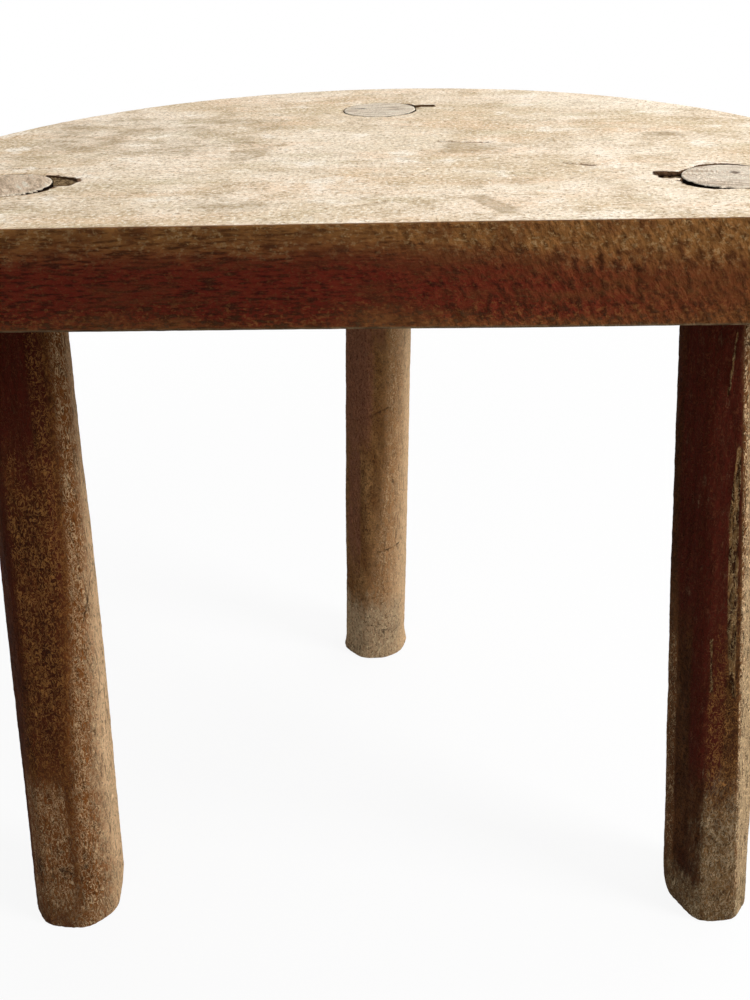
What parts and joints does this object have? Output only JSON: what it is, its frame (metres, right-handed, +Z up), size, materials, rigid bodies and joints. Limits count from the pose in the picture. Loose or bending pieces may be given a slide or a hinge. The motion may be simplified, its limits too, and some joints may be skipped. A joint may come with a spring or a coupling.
{
  "type": "milking stool",
  "caption": "Low wooden milking stool with a thick D-shaped plank seat on splayed, hewn legs whose round ends come through the seat and are locked by small wedges.",
  "frame": {"origin": "on the floor, under the middle of the box round the whole stool", "axes": "+Z up, +X along the straight front edge to the sitter's right when seen from the front, the straight front edge faces -Y"},
  "size_m": [0.3678, 0.253, 0.312],
  "materials": {
    "seat_wood": "weathered, bleached on top and stained brown on the front edge",
    "leg_wood": "hewn, with worn red-brown stain",
    "wedge_wood": "split, dark with dirt"
  },
  "bodies": {
    "root": {"seat": "seat_wood", "left_leg": "leg_wood", "right_leg": "leg_wood", "back_leg": "leg_wood", "left_wedge": "wedge_wood", "right_wedge": "wedge_wood", "back_wedge": "wedge_wood"}
  },
  "joints": []
}
